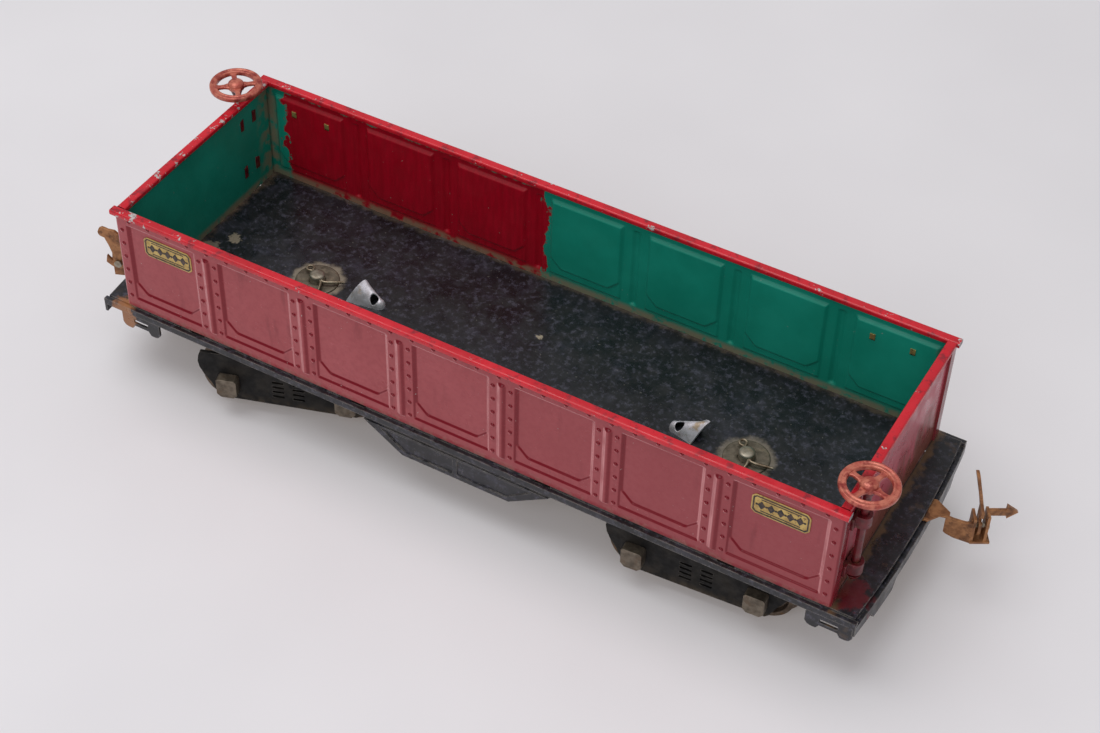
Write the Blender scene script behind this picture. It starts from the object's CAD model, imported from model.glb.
# Looks for a tinplate toy gondola wagon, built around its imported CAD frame.
# Sizes in this script are millimetres until a mesh is made, and its objects are in metres.
import math
import random

import bmesh
import bpy
import numpy as np
from mathutils import Euler, Matrix, Vector


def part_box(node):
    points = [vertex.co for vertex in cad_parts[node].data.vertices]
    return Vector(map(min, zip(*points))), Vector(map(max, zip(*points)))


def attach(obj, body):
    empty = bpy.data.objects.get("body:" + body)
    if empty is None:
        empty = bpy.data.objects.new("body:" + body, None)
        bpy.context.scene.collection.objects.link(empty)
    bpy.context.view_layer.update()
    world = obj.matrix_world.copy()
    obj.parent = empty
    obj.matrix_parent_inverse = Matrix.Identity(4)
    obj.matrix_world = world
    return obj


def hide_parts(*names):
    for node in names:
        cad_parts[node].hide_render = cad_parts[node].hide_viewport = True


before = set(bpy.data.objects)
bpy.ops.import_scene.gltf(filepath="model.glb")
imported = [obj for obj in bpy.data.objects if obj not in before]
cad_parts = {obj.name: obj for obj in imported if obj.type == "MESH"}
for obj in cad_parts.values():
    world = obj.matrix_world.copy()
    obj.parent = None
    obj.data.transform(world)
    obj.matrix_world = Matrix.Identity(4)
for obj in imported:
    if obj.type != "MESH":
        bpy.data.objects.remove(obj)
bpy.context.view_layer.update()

MM = 0.001

# ---------- places, read from the CAD frame ----------


def cad(node):
    """The lowest and highest corners of a CAD node at rest, in millimetres."""
    low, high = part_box(node)
    return low / MM, high / MM


def middle(node):
    """The middle of a CAD node at rest, in millimetres."""
    low, high = cad(node)
    return [(a + b) / 2 for a, b in zip(low, high)]


LEFT, RIGHT = -1, 1
NEAR, FAR = -1, 1
END_NAME = {LEFT: "left", RIGHT: "right"}
SIDE_NAME = {NEAR: "near", FAR: "far"}

# The folded rims, and the sheets' thickness
RIM_OUT = 0.9
RIM_W = 2.8
RIM_H = 1.8
SHEET = 0.7

# The body's floor, top and outer faces, and the trucks' pivots with how far each truck stands turned
FLOOR_Z = cad("floor_frame")[1].z
WALL_TOP = cad("side_far")[1].z
SIDE_X = cad("side_far")[1].x - RIM_OUT
SIDE_Y = cad("side_far")[1].y - RIM_OUT
TRUCK_X = middle("washer_right")[0]
YAW = {LEFT: 18, RIGHT: 4}

# Pressed panels between posts. Heights are above the floor.
PANELS = 7
END_POST_IN = 1.1
PITCH = (2 * SIDE_X - 2 * END_POST_IN) / PANELS
POST_W = 8.4
POST_SHIFT = {NEAR: 1.6, FAR: 0}
END_MARGIN = 4
WRAP = 4
CORNER_R = 0.9

# A panel is pressed in by two steps of PRESS: the first all over it, the second over its window
PRESS = 0.45
PRESS_SLOPE = 0.8
STEP_LOW = 3.6
WINDOW_LOW = 6.4
WINDOW_TOP = 31.6
WINDOW_IN = 0.5
CHAMFER = 3.4
BUCKLE = 0.16
RIB_HALF_W = 1.5
RIB_OUT = 0.72
RIB_LOW = 2.6
RIB_TOP = 31.5

# Rivets up the posts and corners and in a row under the rim, and the tabs folded under the floor
RIVET_DX = 2.75
RIVET_Z = 4.3
RIVET_PITCH = 5
RIVETS_UP = 6
CORNER_RIVET_IN = 2.2
RIM_RIVETS = 16
RIM_RIVET_Z = WINDOW_TOP + 1.6
TAB_XS = (-86, -30, 30, 86)
END_TAB_YS = (-29, 24)
TAB_LONG = 5
TAB_DEEP = 3
TAB_LOW = 1.5
TAB_TOP = 0.8

# Fittings. Heights are above the floor.
PLATE_Z = 26
STRAP_TAB = 2.6
SLOT_HALF_W = 0.45
SLOT_HALF_H = 2.2
BRAKE_WHEEL_Z = 39.2
SPOKE_TURN = {LEFT: 43, RIGHT: 73}
PIN_Z = 1.75
LUG_TIP = 47.6
LUG_NOSE = 1.6
LUG_SHEET = 0.5
# How far out a scoop's mouth stands at these places across it
LUG_ACROSS = (-3.3, 2.1, 3.8)
LUG_MOUTH = {LEFT: (59.2, 55.7, 54.6), RIGHT: (55.7, 58.8, 54.8)}
PIN_TURN = {LEFT: 223, RIGHT: 35}


def post_x(i, side):
    """The middle of a post, counted from the left of its side."""
    return (i - PANELS / 2) * PITCH + POST_SHIFT[side]


# ---------- material building ----------


class Shader:
    """One material, built by small steps. Positions inside it are millimetres at rest."""

    def __init__(self, name, **constants):
        self.material = bpy.data.materials.new(name)
        self.material.use_nodes = True
        self.tree = self.material.node_tree
        self.out = self.tree.nodes["Principled BSDF"]
        for key, value in constants.items():
            self.out.inputs[key.replace("_", " ")].default_value = value
        coords = self.node("ShaderNodeTexCoord")
        self.place = self.link_in(
            "ShaderNodeVectorMath", {0: coords.outputs["Object"]}, operation="SCALE"
        )
        self.place.node.inputs["Scale"].default_value = 1 / MM
        split = self.node("ShaderNodeSeparateXYZ")
        self.tree.links.new(self.place, split.inputs[0])
        self.x, self.y, self.z = split.outputs
        normal = self.node("ShaderNodeSeparateXYZ")
        self.tree.links.new(self.node("ShaderNodeNewGeometry").outputs["Normal"], normal.inputs[0])
        self.facing_right, _, self.facing_up = normal.outputs

    def node(self, kind, **attributes):
        """A new node, with its settings."""
        n = self.tree.nodes.new(kind)
        for key, value in attributes.items():
            setattr(n, key, value)
        return n

    def link_in(self, kind, inputs, output=0, **attributes):
        """An output of a new node whose inputs are sockets or plain values."""
        n = self.node(kind, **attributes)
        for key, value in inputs.items():
            if isinstance(value, bpy.types.NodeSocket):
                self.tree.links.new(value, n.inputs[key])
            else:
                n.inputs[key].default_value = value
        return n.outputs[output]

    def math(self, operation, a, b=0.0):
        return self.link_in("ShaderNodeMath", {0: a, 1: b}, operation=operation)

    def times(self, a, b):
        return self.math("MULTIPLY", a, b)

    def plus(self, a, b):
        return self.math("ADD", a, b)

    def minus(self, a, b):
        return self.math("SUBTRACT", a, b)

    def larger(self, a, b):
        return self.math("MAXIMUM", a, b)

    def unsigned(self, a):
        return self.math("ABSOLUTE", a)

    def noise(self, size, detail=3.0, roughness=0.55, stretch=(1, 1, 1), shift=0.0):
        """Noise from 0 to 1 whose blotches are about size millimetres."""
        where = self.link_in(
            "ShaderNodeMapping",
            {"Vector": self.place, "Location": (shift, shift * 0.7, shift * 1.3), "Scale": stretch},
        )
        return self.link_in(
            "ShaderNodeTexNoise",
            {"Vector": where, "Scale": 1 / size, "Detail": detail, "Roughness": roughness},
        )

    def band(self, value, low, high, to_low=0.0, to_high=1.0):
        """Eases from to_low to to_high as value goes from low to high."""
        return self.link_in(
            "ShaderNodeMapRange",
            {"Value": value, "From Min": low, "From Max": high, "To Min": to_low, "To Max": to_high},
            interpolation_type="SMOOTHSTEP",
        )

    def mix(self, factor, a, b):
        """Colour a where factor is 0 and b where it is 1."""
        n = self.node("ShaderNodeMix", data_type="RGBA")
        for key, value in ((0, factor), (6, a), (7, b)):
            if isinstance(value, bpy.types.NodeSocket):
                self.tree.links.new(value, n.inputs[key])
            else:
                n.inputs[key].default_value = value if key == 0 else (*value, 1)
        return n.outputs[2]

    def edge(self, width):
        """1 near a sharp edge, within about width millimetres, and 0 elsewhere."""
        rounded = self.node("ShaderNodeBevel", samples=4)
        rounded.inputs["Radius"].default_value = width * MM
        normal = self.node("ShaderNodeNewGeometry").outputs["Normal"]
        same = self.link_in(
            "ShaderNodeVectorMath",
            {0: rounded.outputs[0], 1: normal},
            output="Value",
            operation="DOT_PRODUCT",
        )
        return self.band(same, 0.98, 0.75)

    def distance(self, x, y):
        """Distance in plan from a point."""
        dx = self.minus(self.x, x)
        dy = self.minus(self.y, y)
        return self.math("SQRT", self.plus(self.times(dx, dx), self.times(dy, dy)))

    def colour(self, socket):
        self.tree.links.new(socket, self.out.inputs["Base Color"])

    def roughness(self, socket):
        self.tree.links.new(socket, self.out.inputs["Roughness"])

    def bump(self, height, depth):
        """Bumps of the given depth in millimetres, where height goes from 0 to 1."""
        n = self.link_in("ShaderNodeBump", {"Height": height, "Strength": 1.0, "Distance": depth * MM})
        self.tree.links.new(n, self.out.inputs["Normal"])


# Colours that are the ground of a material, or are in several
DUST = (0.30, 0.25, 0.19)
CRIMSON = (0.345, 0.062, 0.070)
DEEP_RED = (0.085, 0.001, 0.006)
BRIGHT_RED = (0.62, 0.010, 0.024)
GREEN = (0.004, 0.225, 0.155)
BLACK = (0.008, 0.008, 0.010)


def outside_paint():
    """Crimson enamel, faded in clouds. Edges that face up or right are deeper, and the others are pale."""
    s = Shader("crimson_enamel", Specular_IOR_Level=0.3)
    clouds = s.band(s.noise(26, 4), 0.35, 0.7)
    colour = s.mix(clouds, CRIMSON, (0.385, 0.076, 0.086))
    colour = s.mix(s.band(s.x, -70, 120, 0, 0.45), colour, (0.22, 0.036, 0.046))
    fine = s.band(s.noise(1.4, 4, shift=19), 0.35, 0.75)
    colour = s.mix(s.times(fine, 0.4), colour, (0.26, 0.034, 0.044))
    streaks = s.band(s.noise(3.2, 4, stretch=(1, 1, 0.16), shift=9), 0.58, 0.78)
    colour = s.mix(s.times(streaks, 0.3), colour, DEEP_RED)
    # On the pressed edges, what faces down or left is rubbed pale, and what faces up or right is deeper
    pale = s.larger(s.band(s.facing_up, -0.10, -0.45), s.band(s.facing_right, -0.10, -0.45))
    worn = s.band(s.noise(5, 4, stretch=(1, 1, 0.4), shift=29), 0.3, 0.55, 0.45, 0.9)
    colour = s.mix(s.times(pale, worn), colour, (0.66, 0.27, 0.28))
    deep = s.larger(s.band(s.facing_up, 0.10, 0.42), s.band(s.facing_right, 0.15, 0.6, 0, 0.75))
    colour = s.mix(deep, colour, (0.17, 0.0, 0.008))
    low = s.times(s.band(s.z, FLOOR_Z + 2.4, FLOOR_Z, 0, 0.35), s.band(s.noise(2.2, 5, shift=4), 0.42, 0.62))
    colour = s.mix(low, colour, DUST)
    flecks = s.band(s.noise(0.8, 2, shift=21), 0.75, 0.765)
    colour = s.mix(flecks, colour, (0.42, 0.34, 0.32))
    s.colour(colour)
    s.roughness(s.band(s.noise(6, 5, shift=3), 0.3, 0.75, 0.14, 0.30))
    s.bump(s.noise(1.6, 4, shift=2), 0.012)
    return s.material


def end_paint():
    """Dull red on the end sheets, with rust running down to the platforms."""
    s = Shader("end_enamel", Specular_IOR_Level=0.6)
    colour = s.mix(s.band(s.noise(16, 4), 0.35, 0.7), (0.48, 0.060, 0.095), (0.36, 0.028, 0.050))
    runs = s.noise(3.0, 5, 0.6, stretch=(1, 1, 0.18), shift=5)
    low = s.band(s.plus(s.z, s.times(runs, 34)), FLOOR_Z + 36, FLOOR_Z + 22)
    colour = s.mix(s.times(low, 0.75), colour, (0.13, 0.055, 0.025))
    flecks = s.band(s.noise(1.0, 3, shift=21), 0.70, 0.72)
    colour = s.mix(s.times(flecks, 0.8), colour, (0.30, 0.22, 0.18))
    s.colour(colour)
    s.roughness(s.band(s.noise(5, 5, shift=3), 0.3, 0.75, 0.25, 0.5))
    s.bump(s.noise(1.8, 4, shift=2), 0.03)
    return s.material


def rim_paint():
    """Bright red enamel, rubbed through to grey metal in chips along the edges."""
    s = Shader("rim_enamel", Specular_IOR_Level=0.5)
    colour = s.mix(s.band(s.noise(14, 4), 0.35, 0.7), BRIGHT_RED, (0.50, 0.006, 0.016))
    dark = s.band(s.noise(1.7, 5, 0.65, stretch=(0.5, 0.5, 1), shift=8), 0.53, 0.66)
    colour = s.mix(s.times(dark, 0.7), colour, (0.16, 0.01, 0.02))
    worn_left = s.band(s.x, -80, -118, 0, 0.075)
    chips = s.noise(2.6, 6, 0.68, shift=15)
    chip = s.band(s.plus(chips, worn_left), 0.655, 0.67)
    edge_chips = s.times(s.edge(0.45), s.band(s.noise(1.6, 5, 0.65, shift=33), 0.54, 0.58))
    chip = s.larger(chip, edge_chips)
    colour = s.mix(chip, colour, s.mix(s.noise(0.8, 2), (0.74, 0.70, 0.68), (0.20, 0.15, 0.14)))
    s.colour(colour)
    s.roughness(s.band(s.noise(3, 4, shift=5), 0.3, 0.7, 0.2, 0.42))
    s.bump(s.minus(s.noise(2.4, 4, shift=6), s.times(chip, 0.6)), 0.05)
    return s.material


def inside_paint():
    """Peacock green enamel. The left of the far wall is brushed over in red, with a ragged edge."""
    s = Shader("inside_enamel", Specular_IOR_Level=0.32)
    green = s.mix(s.band(s.noise(18, 4), 0.35, 0.7), GREEN, (0.008, 0.275, 0.195))
    ragged = s.times(s.minus(s.noise(3.6, 5, 0.65, stretch=(1, 1, 0.7), shift=2), 0.5), 13)
    right = s.plus(s.x, ragged)
    red_to = s.band(right, post_x(3, FAR) + 2.6, post_x(3, FAR) + 1.9)
    red_from = s.band(right, post_x(0, FAR) + 6.2, post_x(0, FAR) + 6.8)
    top = s.band(s.plus(s.z, s.times(ragged, 0.35)), WALL_TOP - 2.2, WALL_TOP - 2.9)
    on_far = s.band(s.y, 20, 21)
    red = s.times(s.times(red_to, red_from), s.times(top, on_far))
    brush = s.noise(1.3, 5, stretch=(1, 1, 0.15), shift=12)
    paint = s.mix(s.band(brush, 0.35, 0.7), (0.31, 0.0, 0.009), (0.38, 0.0, 0.012))
    colour = s.mix(red, green, paint)
    dirt = s.noise(4, 5, 0.6, shift=7)
    low = s.times(s.band(s.z, FLOOR_Z + 3.2, FLOOR_Z + 1, 0, 0.8), s.band(dirt, 0.34, 0.5))
    in_corner = s.times(s.band(s.unsigned(s.x), SIDE_X - 6, SIDE_X - 2), s.band(s.unsigned(s.y), 28, 34))
    corner = s.times(in_corner, s.band(dirt, 0.42, 0.58))
    colour = s.mix(s.larger(low, s.times(corner, 0.8)), colour, (0.26, 0.19, 0.12))
    flecks = s.band(s.noise(1.1, 3, shift=31), 0.72, 0.74)
    colour = s.mix(s.times(flecks, 0.8), colour, (0.28, 0.30, 0.26))
    s.colour(colour)
    s.roughness(s.band(s.noise(5, 5, shift=3), 0.3, 0.75, 0.36, 0.55))
    s.bump(s.plus(s.noise(1.8, 4), s.times(s.times(red, brush), 0.5)), 0.03)
    return s.material


def frame_paint():
    """Black enamel: scuffed and dusty on the cargo floor, tan round the pivots and rusty on the platforms."""
    s = Shader("black_enamel", Specular_IOR_Level=0.5)
    clouds = s.band(s.noise(30, 4, 0.55, shift=3), 0.42, 0.7)
    colour = s.mix(clouds, BLACK, (0.014, 0.014, 0.019))
    haze = s.band(s.noise(9, 6, 0.7, shift=14), 0.5, 0.8)
    colour = s.mix(s.times(haze, 0.6), colour, (0.060, 0.058, 0.085))
    mottle = s.band(s.noise(1.8, 6, 0.75, shift=27), 0.50, 0.66)
    colour = s.mix(s.times(mottle, 0.6), colour, (0.085, 0.082, 0.115))
    grit = s.band(s.noise(0.9, 3, shift=40), 0.68, 0.74)
    colour = s.mix(s.times(grit, 0.6), colour, (0.20, 0.19, 0.17))
    patches = s.noise(3.4, 6, 0.65, shift=9)
    # Tan rings round the pivots
    for side in (LEFT, RIGHT):
        ring = s.plus(s.distance(side * TRUCK_X, 0), s.times(patches, 5))
        strength = 0.85 if side == LEFT else 0.6
        colour = s.mix(s.band(ring, 11.6, 9.4, 0, strength), colour, DUST)
    # Dirt along the left and far edges of the cargo floor, and bare spots on it
    left = s.plus(s.x, s.times(patches, 11))
    inside = s.band(s.unsigned(s.x), SIDE_X - 0.4, SIDE_X - 0.9)
    dirt = s.times(s.band(left, -SIDE_X + 9.5, -SIDE_X + 5), inside)
    colour = s.mix(s.times(dirt, 0.85), colour, (0.17, 0.12, 0.08))
    far_edge = s.plus(s.y, s.times(patches, -6))
    colour = s.mix(s.times(s.band(far_edge, 31.4, 33.4, 0, 0.5), inside), colour, (0.13, 0.10, 0.07))
    bare_spots = ((-104, 3, 1.6, 0.7), (-108, -4, 2.6, 0.5), (-100, -9, 1.2, 0.5), (-2, 13, 0.1, 0.9))
    for x, y, radius, strength in bare_spots:
        spot = s.plus(s.distance(x, y), s.times(s.minus(patches, 0.5), 9))
        colour = s.mix(s.band(spot, radius + 0.6, radius, 0, strength), colour, (0.36, 0.30, 0.22))
    # Rust, dust and red overspray on the platforms
    outside = s.band(s.unsigned(s.x), SIDE_X - 0.9, SIDE_X)
    rusty = s.times(outside, s.band(s.noise(4, 6, 0.65, shift=22), 0.56, 0.66))
    colour = s.mix(s.times(rusty, 0.4), colour, (0.10, 0.060, 0.035))
    foot = s.plus(s.unsigned(s.x), s.times(patches, 7))
    by_wall = s.band(foot, SIDE_X + 5.6, SIDE_X + 3.6)
    heaped = s.times(by_wall, s.times(outside, s.band(s.facing_up, 0.5, 0.8, 0, 0.8)))
    colour = s.mix(heaped, colour, (0.15, 0.085, 0.04))
    spray = s.plus(s.distance(SIDE_X + 3, -30), s.times(patches, 16))
    colour = s.mix(s.times(s.band(spray, 14, 11, 0, 0.8), outside), colour, (0.13, 0.006, 0.012))
    # Orange rust at the near left corner
    orange = s.plus(s.distance(-SIDE_X - 1, -39.5), s.times(patches, 9))
    colour = s.mix(s.band(orange, 9.5, 7.5, 0, 0.7), colour, (0.42, 0.17, 0.06))
    # Metal rubbed bare along the edges
    rubbed = s.times(s.edge(0.6), s.band(s.noise(4, 5, 0.7, shift=17), 0.38, 0.52))
    colour = s.mix(s.times(rubbed, 0.75), colour, (0.26, 0.235, 0.21))
    s.colour(colour)
    s.roughness(s.band(s.noise(6, 6, 0.65, shift=19), 0.3, 0.7, 0.22, 0.5))
    s.bump(s.noise(2.2, 5, shift=5), 0.02)
    return s.material


def truck_paint():
    """Black enamel gone brown with handling and dust."""
    s = Shader("truck_enamel", Specular_IOR_Level=0.18)
    colour = s.mix(s.band(s.noise(5, 5, 0.6), 0.4, 0.68), (0.006, 0.0055, 0.0055), (0.020, 0.017, 0.014))
    low = s.times(s.band(s.z, 9, 5), s.band(s.noise(3, 4, shift=4), 0.38, 0.6))
    colour = s.mix(s.times(low, 0.5), colour, (0.075, 0.055, 0.035))
    rubbed = s.times(s.edge(0.4), s.band(s.noise(2.4, 4, shift=7), 0.42, 0.6))
    colour = s.mix(s.times(rubbed, 0.6), colour, (0.17, 0.15, 0.13))
    s.colour(colour)
    s.roughness(s.band(s.noise(2, 5, shift=3), 0.3, 0.7, 0.42, 0.7))
    s.bump(s.noise(1.1, 5, shift=5), 0.03)
    return s.material


def metal(name, light, dark, stain, metallic, roughness, size=2.5, stain_from=0.52):
    """Bare or plated metal with a mottled tarnish, stains in patches, and brighter rubbed edges."""
    s = Shader(name, Metallic=metallic)
    colour = s.mix(s.band(s.noise(size, 5, 0.6), 0.35, 0.68), light, dark)
    patches = s.band(s.noise(size * 1.4, 5, 0.65, shift=6), stain_from, stain_from + 0.14)
    colour = s.mix(s.times(patches, 0.8), colour, stain)
    colour = s.mix(s.times(s.edge(0.3), 0.5), colour, tuple(min(1, 1.4 * c) for c in light))
    s.colour(colour)
    s.roughness(s.band(s.noise(size * 0.6, 5, shift=3), 0.3, 0.7, roughness - 0.1, roughness + 0.14))
    s.bump(s.noise(size * 0.5, 4, shift=5), 0.015)
    return s.material


def brass_plate():
    """The ground of the plates: brass gone dull in clouds, with brown specks."""
    s = Shader("brass_plate", Metallic=0.75)
    colour = s.mix(s.band(s.noise(2.2, 5), 0.35, 0.7), (0.62, 0.45, 0.16), (0.42, 0.28, 0.10))
    s.colour(s.mix(s.band(s.noise(0.9, 4, shift=9), 0.6, 0.7), colour, (0.12, 0.07, 0.04)))
    s.roughness(s.band(s.noise(1.6, 4, shift=3), 0.3, 0.7, 0.28, 0.5))
    s.bump(s.noise(0.8, 4, shift=5), 0.02)
    return s.material


def hollow():
    """The inside of the scoops, black with dirt."""
    s = Shader("dirty_hollow", Metallic=0.3)
    s.colour(s.mix(s.band(s.noise(1.5, 4), 0.4, 0.7), (0.012, 0.010, 0.009), (0.07, 0.05, 0.03)))
    s.roughness(s.band(s.noise(1, 4, shift=3), 0.3, 0.7, 0.5, 0.75))
    s.bump(s.noise(0.8, 4), 0.02)
    return s.material


def ink():
    """Dark ink, worn brown, on the plates' border, lozenges, dots and lines."""
    s = Shader("plate_ink", Roughness=0.45)
    s.colour(s.mix(s.band(s.noise(0.8, 4), 0.4, 0.7), (0.012, 0.010, 0.010), (0.09, 0.05, 0.035)))
    s.bump(s.noise(0.6, 3), 0.01)
    return s.material


def table_top():
    """A pale table. Its faint warm glow stands for the light that a bright room throws into the shadows."""
    s = Shader("table_top", Roughness=0.62, Emission_Strength=0.1)
    s.out.inputs["Emission Color"].default_value = (1, 0.80, 0.64, 1)
    s.colour(s.mix(s.band(s.noise(140, 3), 0.3, 0.7), (0.66, 0.665, 0.71), (0.70, 0.705, 0.75)))
    s.bump(s.noise(3, 3), 0.004)
    return s.material


body_red = outside_paint()
rim_red = rim_paint()
rim_end = metal(
    "rim_end_metal", (0.34, 0.33, 0.34), (0.20, 0.17, 0.17), (0.30, 0.05, 0.06), 0.7, 0.42, 1.8, 0.6
)
end_red = end_paint()
dark_hollow = hollow()
inside_green = inside_paint()
frame_black = frame_paint()
truck_black = truck_paint()
brass = brass_plate()
plate_ink = ink()
nickel = metal(
    "dull_nickel", (0.42, 0.38, 0.31), (0.24, 0.20, 0.15), (0.34, 0.27, 0.18), 0.75, 0.42
)
washer_metal = metal(
    "washer_metal", (0.20, 0.165, 0.125), (0.11, 0.09, 0.065), (0.26, 0.21, 0.15), 0.6, 0.45
)
pin_metal = metal("pin_metal", (0.36, 0.30, 0.22), (0.20, 0.15, 0.10), (0.12, 0.07, 0.04), 0.7, 0.4)
bright_nickel = metal(
    "lug_nickel", (0.66, 0.63, 0.69), (0.44, 0.41, 0.43), (0.40, 0.28, 0.16), 0.35, 0.34
)
journal = metal(
    "aged_nickel", (0.20, 0.165, 0.125), (0.10, 0.08, 0.06), (0.13, 0.09, 0.06), 0.7, 0.45
)
copper = metal(
    "copper_brown", (0.40, 0.185, 0.075), (0.20, 0.08, 0.03), (0.09, 0.035, 0.016), 0.45, 0.38, 2.4
)
brake_copper = metal(
    "brake_copper", (0.58, 0.18, 0.12), (0.40, 0.07, 0.05), (0.22, 0.014, 0.014), 0.3, 0.34, 2.2, 0.5
)
brake_red = metal(
    "brake_red", (0.14, 0.006, 0.011), (0.07, 0.004, 0.007), (0.11, 0.045, 0.025), 0.1, 0.36, 2.2
)
wheel_metal = metal(
    "wheel_metal", (0.15, 0.11, 0.08), (0.07, 0.05, 0.035), (0.16, 0.08, 0.03), 0.75, 0.45
)


# ---------- meshes ----------


class Piece:
    """A mesh in the making. Points are millimetres, and each face has the number of its material."""

    def __init__(self):
        self.points, self.faces, self.kinds = [], [], []
        self.at = Matrix.Identity(4)

    def add(self, points, faces, kind=0):
        start = len(self.points)
        self.points += [tuple(self.at @ Vector(p)) for p in points]
        self.faces += [tuple(start + i for i in face) for face in faces]
        self.kinds += [kind] * len(faces)

    def grid(self, rows, kind=0, closed=False, skip=()):
        """A sheet of quads through rows of points. closed joins the end of each row to its start."""
        n = len(rows[0])
        faces = [
            (j * n + i, j * n + (i + 1) % n, (j + 1) * n + (i + 1) % n, (j + 1) * n + i)
            for j in range(len(rows) - 1)
            for i in range(n if closed else n - 1)
            if (i, j) not in skip
        ]
        self.add([p for row in rows for p in row], faces, kind)

    def skin(self, rings, kind=0, caps=True, cap_kind=None):
        """A tube through closed rings of points, with flat caps."""
        self.grid(rings, kind, closed=True)
        if caps:
            for ring in (rings[0], rings[-1]):
                self.add(ring, [tuple(range(len(ring)))], kind if cap_kind is None else cap_kind)

    def lathe(self, profile, turns=40):
        """Turns (radius, height) points about the z axis."""
        angles = [2 * math.pi * k / turns for k in range(turns)]
        self.grid([[(r * math.cos(a), r * math.sin(a), z) for a in angles] for r, z in profile], closed=True)

    def slab(self, outline, low, high, edge, kind=0):
        """A flat plate from z = low to z = high, with its edges rounded by edge."""
        rings = []
        for k in range(4):
            a = math.pi / 6 * k
            rings.append((edge * (1 - math.sin(a)), low + edge * (1 - math.cos(a))))
        rings += [(inset, low + high - z) for inset, z in reversed(rings)]
        self.skin([[(x, y, z) for x, y in shrunk(outline, inset)] for inset, z in rings], kind)

    def tube(self, path, radii, sides=10):
        """A round bar along a path. radii is one radius, or one for each point."""
        path = [Vector(p) for p in path]
        if not hasattr(radii, "__len__"):
            radii = [radii] * len(path)
        turns = [2 * math.pi * k / sides for k in range(sides)]
        rings, across = [], None
        for i, p in enumerate(path):
            along = (path[min(i + 1, len(path) - 1)] - path[max(i - 1, 0)]).normalized()
            if across is None:
                across = along.orthogonal().normalized()
            across = (across - along * across.dot(along)).normalized()
            other = along.cross(across)
            rings.append([p + radii[i] * (across * math.cos(a) + other * math.sin(a)) for a in turns])
        self.skin(rings)

    def make(self, name, body, slot, replaced, materials, sharp=40):
        """The piece as an object that rides on a body and replaces CAD nodes. sharp is in degrees."""
        mesh = bpy.data.meshes.new(name)
        mesh.from_pydata([tuple(c * MM for c in p) for p in self.points], [], self.faces)
        for material in materials:
            mesh.materials.append(material)
        mesh.polygons.foreach_set("material_index", self.kinds)
        solid = bmesh.new()
        solid.from_mesh(mesh)
        bmesh.ops.remove_doubles(solid, verts=solid.verts, dist=0.001 * MM)
        bmesh.ops.recalc_face_normals(solid, faces=solid.faces)
        solid.to_mesh(mesh)
        solid.free()
        mesh.shade_smooth()
        mesh.set_sharp_from_angle(angle=math.radians(sharp))
        o = bpy.data.objects.new(name, mesh)
        bpy.context.scene.collection.objects.link(o)
        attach(o, body)
        if replaced:
            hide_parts(*replaced)
        return o


def shrunk(outline, inset):
    """An outline drawn anticlockwise, moved inwards by inset."""
    n = len(outline)
    out = []
    for i, (x, y) in enumerate(outline):
        before, after = outline[i - 1], outline[(i + 1) % n]
        a = Vector((y - before[1], before[0] - x)).normalized()
        b = Vector((after[1] - y, x - after[0])).normalized()
        m = (a + b).normalized()
        reach = inset / max(0.5, m.dot(a))
        out.append((x - m.x * reach, y - m.y * reach))
    return out


def softened(outline, radius, steps=4):
    """An outline with its corners rounded by about radius."""
    out = []
    n = len(outline)
    for i in range(n):
        p = Vector(outline[i])
        before, after = Vector(outline[i - 1]), Vector(outline[(i + 1) % n])
        a = p + (before - p) * min(0.48, radius / max(1e-6, (before - p).length))
        b = p + (after - p) * min(0.48, radius / max(1e-6, (after - p).length))
        for k in range(steps + 1):
            t = k / steps
            out.append(tuple(a * (1 - t) ** 2 + p * 2 * t * (1 - t) + b * t * t))
    return out


def rectangle(x0, y0, x1, y1):
    """Four corners, drawn anticlockwise where x0 < x1 and y0 < y1."""
    return [(x0, y0), (x1, y0), (x1, y1), (x0, y1)]


def turned(angle, x=0.0, y=0.0, z=0.0):
    """Turned about the z axis by an angle in degrees, and put at a place."""
    return Matrix.Translation((x, y, z)) @ Matrix.Rotation(math.radians(angle), 4, "Z")


def at_end(side):
    """Things at an end are drawn for the right-hand end, and turned half a turn for the left."""
    return turned(0 if side == RIGHT else 180)


def at_truck(side):
    """The frame of a truck, which stands turned about its pivot."""
    return at_end(side) @ turned(YAW[side], TRUCK_X)


def wave(size, *seeds):
    """A smooth, seeded function of two numbers, from about -1 to 1, that repeats slowly over size."""
    terms = []
    for seed in seeds:
        draw = random.Random(seed)
        terms.append((draw.uniform(0.4, 1.2) / size, draw.uniform(0.4, 1.2) / size, draw.uniform(0, 6.3)))
    return lambda u, v: sum(np.sin(2 * math.pi * (a * u + b * v) + c) for a, b, c in terms) / len(terms)


# ---------- walls ----------

# Which of a wall's materials a face has
OUTSIDE, INSIDE, RIM, RIM_END, TAB = range(5)


def soft_min(values, softness=0.5):
    """The least of several distances, with its corners rounded."""
    low = values[0]
    for v in values[1:]:
        h = np.clip(0.5 + 0.5 * (v - low) / softness, 0, 1)
        low = v * (1 - h) + low * h - softness * h * (1 - h)
    return low


def eased(distance, width):
    """Eases from 0 to 1 as distance goes through 0, over width."""
    t = np.clip(distance / width + 0.5, 0, 1)
    return t * t * (3 - 2 * t)


def panel_range(i, side):
    """The ends of a panel, counted from the left of its side."""
    low = -SIDE_X + END_MARGIN if i == 0 else post_x(i, side) + POST_W / 2
    high = SIDE_X - END_MARGIN if i == PANELS - 1 else post_x(i + 1, side) - POST_W / 2
    return low, high


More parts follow.
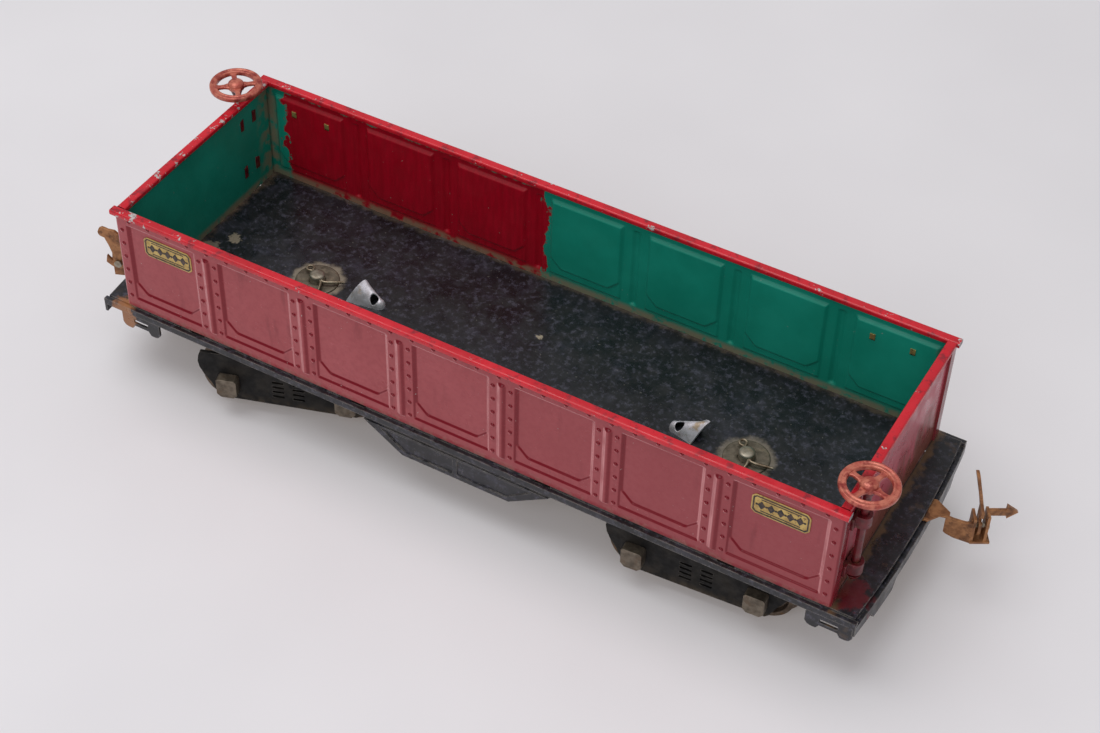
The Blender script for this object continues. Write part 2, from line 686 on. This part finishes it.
def pressed(x, z, side, buckle):
    """How far the wall's outer face lies inside its posts. Ribs stand out, so there it is below 0."""
    depth = np.zeros(np.broadcast(x, z).shape)
    for i in range(PANELS):
        low, high = panel_range(i, side)
        step = soft_min([x - low, high - x, z - STEP_LOW, WINDOW_TOP - z])
        a, b = x - low - WINDOW_IN, high - WINDOW_IN - x
        up = z - WINDOW_LOW
        corner = math.sqrt(0.5)
        corners = [(a + up - CHAMFER) * corner, (b + up - CHAMFER) * corner]
        window = soft_min([a, b, up, WINDOW_TOP - WINDOW_IN - z, *corners])
        depth = depth + PRESS * (eased(step, PRESS_SLOPE) + eased(window, PRESS_SLOPE))
        depth = depth + BUCKLE * eased(window - 3, 6) * buckle(x + 40 * i, z)
    for i in range(1, PANELS):
        across = np.clip(abs(x - post_x(i, side)) / RIB_HALF_W, 0, 1)
        along = eased(z - RIB_LOW - 0.5, 1.2) * eased(RIB_TOP - 0.5 - z, 1.2)
        depth = depth - RIB_OUT * (0.5 + 0.5 * np.cos(math.pi * across)) ** 0.7 * along
    return depth


def wall_samples(side):
    """The x and z positions where the wall's mesh has points, close together along pressed edges."""
    rivet_x = SIDE_X - CORNER_RIVET_IN
    xs = [-SIDE_X + CORNER_R, SIDE_X - CORNER_R, -rivet_x, rivet_x]
    from_edge = np.linspace(-0.5, 5.1, 29)
    for i in range(PANELS):
        low, high = panel_range(i, side)
        xs += list(low + from_edge) + list(high - from_edge)
        xs += list(np.linspace(low + 6, high - 6, 7))
    for i in range(1, PANELS):
        xs += list(post_x(i, side) + np.linspace(-1.6, 1.6, 15))
    zs = list(np.linspace(0, 2.4, 5)) + list(np.linspace(2.6, 10.8, 45)) + list(np.linspace(12, 29.6, 9))
    zs += list(np.linspace(30.4, 32.4, 12)) + [33.4, WALL_TOP - FLOOR_Z - RIM_H / 2]
    return np.array(sorted(set(np.round(xs, 4)))), np.array(zs)


def rim_ring():
    """Section of the folded rim: (distance out from the wall's face, height) round a soft-cornered bar."""
    inner = RIM_OUT - RIM_W
    return softened([(RIM_OUT, 0), (RIM_OUT, RIM_H), (inner, RIM_H), (inner, 0)], 0.62, 5)


def add_rivet(wall, x, z, radius=0.68, height=0.5):
    """A domed rivet head on the far side's outer face."""
    was = wall.at
    wall.at = was @ Matrix.Translation((x, SIDE_Y, FLOOR_Z + z)) @ Matrix.Rotation(-math.pi / 2, 4, "X")
    sunk = 0.05
    quarter = np.linspace(0, math.pi / 2, 5)
    dome = [(radius * math.cos(a), (height + sunk) * math.sin(a) - sunk) for a in quarter]
    wall.lathe(dome, 12)
    wall.at = was


def make_side(side):
    """A whole side: pressed sheet wrapped round both corners, rivets, tabs and the folded rim on top."""
    name = SIDE_NAME[side]
    wall = Piece()
    wall.at = turned(0 if side == FAR else 180)
    buckle = wave(30, 3 + side, 11 + side, 23 + side, 31 + side)
    xs, zs = wall_samples(side)
    c = CORNER_R
    # The path round the outer face in plan: a place, and the way out of the wall there
    wraps = {}
    for end in (LEFT, RIGHT):
        wrap = [(end * SIDE_X, SIDE_Y - y, end, 0) for y in np.linspace(WRAP, c, 4)[:-1]]
        for a in np.linspace(0, math.pi / 2, 7):
            n = (end * math.cos(a), math.sin(a))
            wrap.append((end * (SIDE_X - c) + c * n[0], SIDE_Y - c + c * n[1], *n))
        wraps[end] = wrap
    straight = [(x, SIDE_Y, 0, 1) for x in xs[1:-1]]
    path = wraps[LEFT] + straight + wraps[RIGHT][::-1]
    skins = []
    for skin in (OUTSIDE, INSIDE):
        rows = []
        for z in zs:
            row = []
            depths = pressed(np.array([p[0] for p in path]), z, side, buckle)
            for (x, y, nx, ny), depth in zip(path, depths):
                inwards = (depth if ny == 1 else 0) + skin * SHEET
                row.append((x - nx * inwards, y - ny * inwards, FLOOR_Z + z))
            rows.append(row)
        wall.grid(rows, kind=skin)
        skins.append(rows)
    outer, inner = skins
    wall.grid([outer[0], inner[0]])
    for i in (0, -1):
        wall.grid([[row[i] for row in outer], [row[i] for row in inner]])
    rivet_x = SIDE_X - CORNER_RIVET_IN
    for k in range(RIVETS_UP):
        z = RIVET_Z + k * RIVET_PITCH
        for i in range(1, PANELS):
            for s in (-1, 1):
                add_rivet(wall, post_x(i, side) + s * RIVET_DX, z)
        for s in (-1, 1):
            add_rivet(wall, s * rivet_x, z)
    for k in range(-RIM_RIVETS, RIM_RIVETS + 1):
        add_rivet(wall, k * rivet_x / (RIM_RIVETS + 0.4), RIM_RIVET_Z, 0.6, 0.45)
    for x in TAB_XS:
        tab = softened(rectangle(0, 0, TAB_LONG, TAB_DEEP), 0.5)
        outline = [(x + u, SIDE_Y - v) for u, v in reversed(tab)]
        wall.slab(outline, FLOOR_Z - TAB_LOW, FLOOR_Z - TAB_TOP, 0.15, kind=TAB)
    sway = wave(90, 5 + side, 17 + side)
    rings = []
    for x in np.linspace(-SIDE_X - RIM_OUT, SIDE_X + RIM_OUT, 90):
        dy, dz = 0.10 * sway(x, 0), -0.06 - 0.06 * sway(x, 50)
        rings.append([(x, SIDE_Y + out + min(0, dy), WALL_TOP - RIM_H + h + dz) for out, h in rim_ring()])
    wall.skin(rings, kind=RIM, cap_kind=RIM_END)
    materials = [body_red, inside_green, rim_red, rim_end, truck_black]
    wall.make(f"wall_{name}", "wagon", "body_red", [f"side_{name}"], materials)


def make_end(side):
    """An end sheet with the slots of its brake brackets, its tabs and its folded rim."""
    name = END_NAME[side]
    sheet = Piece()
    sheet.at = at_end(side)
    outside = SIDE_X - SHEET
    half = SIDE_Y - SHEET - 2 * PRESS - 0.35
    brake_y = side * middle(f"brake_shaft_{name}")[1]
    top = WALL_TOP - FLOOR_Z - RIM_H / 2
    ys, zs = {-half, half}, {0.0, top}
    slots = []
    for place in ("upper", "lower"):
        z = middle(f"{place}_bracket_{name}")[2] - FLOOR_Z
        for k in (-1, 1):
            y = brake_y + k * STRAP_TAB
            slot = (y - SLOT_HALF_W, y + SLOT_HALF_W, z - SLOT_HALF_H, z + SLOT_HALF_H)
            slots.append(slot)
            ys |= set(slot[:2])
            zs |= set(slot[2:])
    ys |= set(np.linspace(-half, half, 24))
    zs |= set(np.linspace(0, top, 14))
    ys, zs = sorted(ys), sorted(zs)
    skip = {
        (i, j)
        for i in range(len(ys) - 1)
        for j in range(len(zs) - 1)
        if any(a <= ys[i] < ys[i + 1] <= b and c <= zs[j] < zs[j + 1] <= d for a, b, c, d in slots)
    }
    buckle = wave(45, 7 + side, 13 + side, 29 + side)

    def bend(y, z):
        free = eased(np.minimum(half - abs(y), top - z) - 3, 8) * eased(z - 4, 6)
        return 0.18 * free * buckle(y, z)

    for kind, x in ((OUTSIDE, outside), (INSIDE, outside - SHEET)):
        sheet.grid([[(x + bend(y, z), y, FLOOR_Z + z) for y in ys] for z in zs], kind, skip=skip)
    for a, b, c, d in [(-half, half, 0, top), *slots]:
        loop = rectangle(a, c, b, d)
        sheet.grid([[(outside - t * SHEET, y, FLOOR_Z + z) for y, z in loop] for t in (0, 1)], closed=True)
    for y in END_TAB_YS:
        tab = softened(rectangle(0, 0, TAB_DEEP, TAB_LONG), 0.5)
        outline = [(outside - TAB_DEEP + u, y + v) for u, v in tab]
        sheet.slab(outline, FLOOR_Z - TAB_LOW, FLOOR_Z - TAB_TOP, 0.15)
    rim_half = SIDE_Y + RIM_OUT - RIM_W
    sway = wave(60, 9 + side, 19 + side)
    rings = []
    for y in np.linspace(-rim_half, rim_half, 30):
        dx = 0.08 * sway(y, 0)
        rings.append([(outside + out + dx, y, WALL_TOP - RIM_H - 0.05 + h) for out, h in rim_ring()])
    sheet.skin(rings, kind=RIM, caps=False)
    sheet.make(f"end_sheet_{name}", "wagon", "body_red", [f"end_{name}"], [end_red, inside_green, rim_red])


# ---------- fittings ----------


def make_plate(side, end):
    """A brass plate, with a border, two lines and a row of lozenges and dots, and its tabs behind."""
    name = f"{SIDE_NAME[side]}_{END_NAME[end]}"
    low, high = cad(f"plate_{name}")
    plate = Piece()
    face = abs(low.y) if side == NEAR else high.y
    where = Matrix.Translation((middle(f"plate_{name}")[0], side * (face - 0.35), FLOOR_Z + PLATE_Z))
    outwards = Matrix.Scale(-side, 4, (0, 0, 1))
    plate.at = where @ Matrix.Rotation(math.radians(90), 4, "X") @ outwards
    l, h, clip = 8.3, 3.5, 1.1
    lower_half = [(-l + clip, -h), (l - clip, -h), (l, -h + clip)]
    upper_half = [(l, h - clip), (l - clip, h), (-l + clip, h), (-l, h - clip)]
    clipped = [*lower_half, *upper_half, (-l, -h + clip)]
    thick, print_low, print_top = 0.24, 0.2, 0.32
    plate.slab(softened(clipped, 0.3, 2), 0, thick, 0.06)
    border, inner = shrunk(clipped, 0.45), shrunk(clipped, 0.85)
    n = len(border)
    top = [(x, y, thick + 0.07) for x, y in [*border, *inner]]
    plate.add(top, [(i, (i + 1) % n, n + (i + 1) % n, n + i) for i in range(n)], 1)
    pitch, dot_r = 2.7, 0.35
    for k in range(-2, 3):
        diamond = [(pitch * k + x, y) for x, y in ((-1.1, 0), (0, -1.5), (1.1, 0), (0, 1.5))]
        plate.slab(diamond, print_low, print_top, 0.04, kind=1)
    turns = np.linspace(0, 2 * math.pi, 13)[:-1]
    for k in range(-2, 4):
        dot = [(pitch * k - pitch / 2 + dot_r * math.cos(a), dot_r * math.sin(a)) for a in turns]
        plate.slab(dot, print_low, print_top, 0.04, kind=1)
    for s in (-1, 1):
        line = rectangle(-5.6, s * 2.05 - 0.16, 5.6, s * 2.05 + 0.16)
        plate.slab(line, print_low, 0.3, 0.03, kind=1)
        tab = rectangle(s * 6 - 0.8, -0.15, s * 6 + 0.8, 0.15)
        plate.slab(tab, -1.0, 0.05, 0.02)
        plate.slab([(x, y + (1.8 if y > 0 else 0)) for x, y in tab], -1.0, -0.72, 0.05)
    plate.make(f"brass_{name}", "wagon", "brass", [f"plate_{name}"], [brass, plate_ink])


def make_brake_wheel(side):
    """A cast wheel: a broad grooved rim, four flared spokes and a domed hub."""
    name = END_NAME[side]
    x, y, _ = middle(f"brake_wheel_{name}")
    wheel = Piece()
    wheel.at = turned(SPOKE_TURN[side], x, y, FLOOR_Z + BRAKE_WHEEL_Z)
    rim = [
        (5.8, 0.1), (5.85, -0.25), (6.15, -0.45), (7.0, -0.5), (7.6, -0.42), (7.92, -0.15),
        (8.0, 0.3), (7.97, 0.8), (7.8, 1.12), (7.5, 1.25), (7.2, 1.12), (6.9, 0.98),
        (6.6, 1.06), (6.35, 1.2), (6.05, 1.16), (5.86, 0.9), (5.8, 0.5), (5.8, 0.1),
    ]
    wheel.lathe(rim, 72)
    hub = [
        (0, -0.75), (2.2, -0.75), (2.45, -0.5), (2.5, 0.2), (2.45, 0.9),
        (2.3, 1.3), (1.95, 1.68), (1.4, 1.92), (0.7, 2.02), (0, 2.04),
    ]
    wheel.lathe(hub)
    for a in range(0, 360, 90):
        was = wheel.at
        wheel.at = was @ turned(a)
        rings = []
        for r in np.linspace(1.8, 6.3, 10):
            flare = 0.8 + 0.55 * eased(2.9 - r, 1.6) + 0.65 * eased(r - 5.6, 1.2)
            narrow = flare * 0.92
            ring = softened([(-flare, -0.15), (flare, -0.15), (narrow, 0.75), (-narrow, 0.75)], 0.3, 3)
            rings.append([(r, y, z) for y, z in ring])
        wheel.skin(rings)
        wheel.at = was
    replaced = [f"brake_wheel_{name}"]
    wheel.make(f"handwheel_{name}", f"brake_{name}", "brake_copper", replaced, [brake_copper], 50)


def make_stud(side):
    """The headed stud of a truck, standing through the floor, and the dished washer round it."""
    name = END_NAME[side]
    stud = Piece()
    stud.at = at_truck(side)
    bolster = FLOOR_Z - 3.4
    top = FLOOR_Z + 3
    shank = 2.4
    head = [(0, -2), (3.6, -2), (4, -1.7), (4, -0.2), (3.8, 0), (shank, 0)]
    collar = [(shank, 1), (4.3, 1), (4.4, 1.2), (4.4, 2.1), (4.2, 2.2), (shank, 2.2)]
    tip = [(shank, -0.9), (2.3, -0.5), (2.05, -0.2), (1.5, -0.06), (0.7, 0), (0, 0)]
    stud.lathe([(r, bolster + z) for r, z in head + collar] + [(r, top + z) for r, z in tip])
    stud.make(f"stud_{name}", f"truck_{name}", "fittings", [f"pivot_stud_{name}"], [nickel], 50)
    ring = Piece()
    ring.at = at_end(side) @ turned(0, TRUCK_X, 0, FLOOR_Z)
    lower = [(2.5, 0.02), (6.5, 0.02), (6.7, 0.12), (6.7, 0.34), (6.55, 0.5)]
    upper = [(6.2, 0.55), (4.6, 0.44), (3.4, 0.5), (2.62, 0.6), (2.5, 0.52), (2.5, 0.02)]
    ring.lathe(lower + upper, 64)
    ring.make(f"washer_plate_{name}", "wagon", "fittings", [f"washer_{name}"], [washer_metal], 50)


def make_split_pin(side):
    """A split pin through the stud: its eye on one side, and its two legs bent apart on the other."""
    name = END_NAME[side]
    pin = Piece()
    pin.at = at_truck(side) @ turned(PIN_TURN[side], 0, 0, FLOOR_Z + PIN_Z)
    eye = [(1.1 * math.sin(a), 4.4 - 1.1 * math.cos(a), 0) for a in np.linspace(0.35, 2 * math.pi - 0.35, 17)]
    pin.tube([(0.2, 0.5, 0), (0.22, 3.0, 0), *eye, (-0.22, 3.0, 0), (-0.2, 0.5, 0)], 0.4)
    long_leg = [(0.2, 2.8, 0), (0.2, -2.6, 0), (0.5, -3.3, 0)]
    long_leg += [(1.3, -3.9, -0.05), (3.4, -4.95, -0.2), (6.0, -6.15, -0.4)]
    pin.tube(long_leg, [0.46, 0.46, 0.48, 0.5, 0.52, 0.36], 12)
    short_leg = [(-0.2, 2.8, 0), (-0.2, -2.6, 0), (-0.55, -3.3, 0), (-1.2, -4.1, -0.1), (-2.3, -5.2, -0.45)]
    pin.tube(short_leg, [0.4, 0.4, 0.42, 0.42, 0.3], 12)
    pin.make(f"split_pin_{name}", f"truck_{name}", "fittings", [f"cotter_pin_{name}"], [pin_metal], 50)


def cut(o, cutter):
    """Takes the cutter's shape out of a piece, and removes the cutter."""
    tool = cutter.make(o.name + "_cutter", "wagon", "fittings", [], [])
    step = o.modifiers.new("cut", "BOOLEAN")
    step.operation = "DIFFERENCE"
    step.object = tool
    view = bpy.context.evaluated_depsgraph_get()
    result = bpy.data.meshes.new_from_object(o.evaluated_get(view))
    o.modifiers.remove(step)
    o.data = result
    bpy.data.objects.remove(tool)


def make_lug(side):
    """A scoop pressed from sheet: a round nose with a hole, a ridge over its far side and an open mouth."""
    name = END_NAME[side]
    lug = Piece()
    lug.at = Matrix.Scale(side, 4, (1, 0, 0))
    start = LUG_TIP + LUG_NOSE

    def section(t, thick):
        """Points over the ridge from the near foot to the far one, at share t of the way to the mouth."""
        near, ridge, far = -1.7 - 1.6 * t + thick, 0.2 + 1.9 * t, 1.8 + 2.0 * t - thick
        high = 2.5 + 3.5 * t - thick
        across = []
        for s in np.linspace(0, 1, 14):
            across.append((near + (ridge - near) * s, 1 - (1 - s) ** (2 - 0.5 * t), 0.5 + 0.5 * t))
        for s in np.linspace(0, 1, 9)[1:]:
            across.append((ridge + (far - ridge) * s, 1 - s**2.2, 0.5 + 0.4 * t))
        points = []
        for y, up, power in across:
            mouth = np.interp(y, LUG_ACROSS, LUG_MOUTH[side])
            points.append((start + (mouth - start) * t, y, FLOOR_Z + high * max(0, up) ** power))
        return points

    steps = np.linspace(0, 1, 14)
    outer = [section(t, 0) for t in steps]
    inner = [section(t, LUG_SHEET) for t in steps]
    lug.grid(outer)
    lug.grid(inner, kind=1)
    lug.grid([outer[-1], inner[-1]])
    for i in (0, -1):
        lug.grid([[row[i] for row in outer], [row[i] for row in inner]])
    quarter = np.linspace(0, math.pi / 2, 7)
    noses = ((outer[0], LUG_NOSE, 0), (inner[0], LUG_NOSE - LUG_SHEET, 1))
    for ring, nose, kind in noses:
        rows = []
        for b in quarter:
            back, narrow, low = start - nose * math.sin(b), math.cos(b), math.cos(b) ** 0.8
            rows.append([(back, y * narrow, FLOOR_Z + (z - FLOOR_Z) * low) for _, y, z in ring])
        lug.grid(rows, kind)
    for i in (0, -1):
        lug.grid([
            [(start - nose * math.sin(b), ring[i][1] * math.cos(b), FLOOR_Z) for b in quarter]
            for ring, nose, _ in noses
        ])
    scoop = lug.make(f"scoop_{name}", "wagon", "fittings", [f"lug_{name}"], [bright_nickel, dark_hollow], 50)
    hole = Piece()
    hole.at = Matrix.Scale(side, 4, (1, 0, 0)) @ turned(0, LUG_TIP + 3.2, -0.4, FLOOR_Z)
    hole_r, hole_low, hole_top = 1.3, 0.6, 8
    hole.lathe([(0, hole_low), (hole_r, hole_low), (hole_r, hole_top), (0, hole_top)], 32)
    cut(scoop, hole)


# ---------- CAD nodes that stay, with rounded edges and their materials ----------


def keep(node, material, edge=0.15):
    """Gives a CAD node its material and rounds its edges by edge millimetres."""
    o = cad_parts[node]
    o.data.materials.clear()
    o.data.materials.append(material)
    for p in o.data.polygons:
        p.use_smooth = True
    weld = o.modifiers.new("weld", "WELD")
    weld.merge_threshold = 0.002 * MM
    flat = o.modifiers.new("flat", "DECIMATE")
    flat.decimate_type = "DISSOLVE"
    flat.angle_limit = math.radians(0.6)
    bevel = o.modifiers.new("edges", "BEVEL")
    bevel.width = edge * MM
    bevel.segments = 2
    bevel.limit_method = "ANGLE"
    bevel.angle_limit = math.radians(32)
    o.modifiers.new("shade", "WEIGHTED_NORMAL")


keep("floor_frame", frame_black, 0.3)
for node in ("girder_near", "girder_far", "corner_steps"):
    keep(node, frame_black)
for end in ("left", "right"):
    for side in ("near", "far"):
        keep(f"side_frame_{side}_{end}", truck_black, 0.2)
    keep(f"upper_bracket_{end}", brake_red)
    keep(f"lower_bracket_{end}", brake_red, 0.5)
    keep(f"brake_shaft_{end}", brake_red)
    keep(f"bolster_{end}", truck_black)
    keep(f"journal_boxes_{end}", journal, 0.5)
    keep(f"coupler_rivet_{end}", nickel)
    keep(f"coupler_arm_{end}", copper, 0.12)
    for place in ("outer", "inner"):
        keep(f"axle_{place}_{end}", wheel_metal)
        keep(f"wheels_{place}_{end}", wheel_metal, 0.12)
keep("coupler_head_right", copper, 0.12)
keep("hook_left", copper)
keep("latch_right", copper, 0.12)
keep("hook_pin_left", nickel, 0.1)
keep("latch_pin_right", nickel, 0.1)

for side in (NEAR, FAR):
    make_side(side)
    for end in (LEFT, RIGHT):
        make_plate(side, end)
for end in (LEFT, RIGHT):
    make_end(end)
    make_brake_wheel(end)
    make_stud(end)
    make_split_pin(end)
    make_lug(end)


# ---------- stage ----------


def make_stage():
    """A wide table, in metres."""
    half = 4.0
    mesh = bpy.data.meshes.new("table")
    corners = [(x, y, 0) for x, y in rectangle(-half, -half, half, half)]
    mesh.from_pydata(corners, [], [(0, 1, 2, 3)])
    mesh.materials.append(table_top())
    table = bpy.data.objects.new("table", mesh)
    bpy.context.scene.collection.objects.link(table)


def area_light(name, place, target, size, power, colour):
    """A round soft light, in metres and watts."""
    light = bpy.data.lights.new(name, "AREA")
    light.shape = "DISK"
    light.size = size
    light.energy = power
    light.color = colour
    o = bpy.data.objects.new(name, light)
    o.location = place
    o.rotation_euler = (Vector(target) - Vector(place)).to_track_quat("-Z", "Y").to_euler()
    bpy.context.scene.collection.objects.link(o)


def make_world():
    """The pale light of the room."""
    world = bpy.data.worlds.new("studio")
    bpy.context.scene.world = world
    world.use_nodes = True
    background = world.node_tree.nodes["Background"]
    background.inputs["Color"].default_value = (0.97, 0.975, 1.0, 1)
    background.inputs["Strength"].default_value = 0.42


def make_camera():
    """A camera above the near side, in metres. Its tilt, turn and roll are degrees."""
    tilt, turn, roll = 46.02, 28.5, 1.74
    above_floor = 0.4238
    data = bpy.data.cameras.new("camera")
    data.sensor_width = 36
    data.lens = 69.2
    o = bpy.data.objects.new("camera", data)
    aimed = Euler((math.radians(tilt), 0, math.radians(turn))).to_matrix()
    rolled = aimed @ Matrix.Rotation(math.radians(roll), 3, "Z")
    o.matrix_world = Matrix.Translation((0.2163, -0.3822, above_floor + FLOOR_Z * MM)) @ rolled.to_4x4()
    bpy.context.scene.collection.objects.link(o)
    bpy.context.scene.camera = o


make_stage()
make_world()
make_camera()
area_light("overhead", (-0.3, -0.1, 1.4), (0, 0, 0.03), 1.2, 10, (1, 0.985, 0.965))
area_light("front", (0.1, -1.2, 0.85), (0, 0, 0.03), 1.0, 5, (0.98, 0.985, 1))
bpy.context.scene.view_settings.view_transform = "Standard"
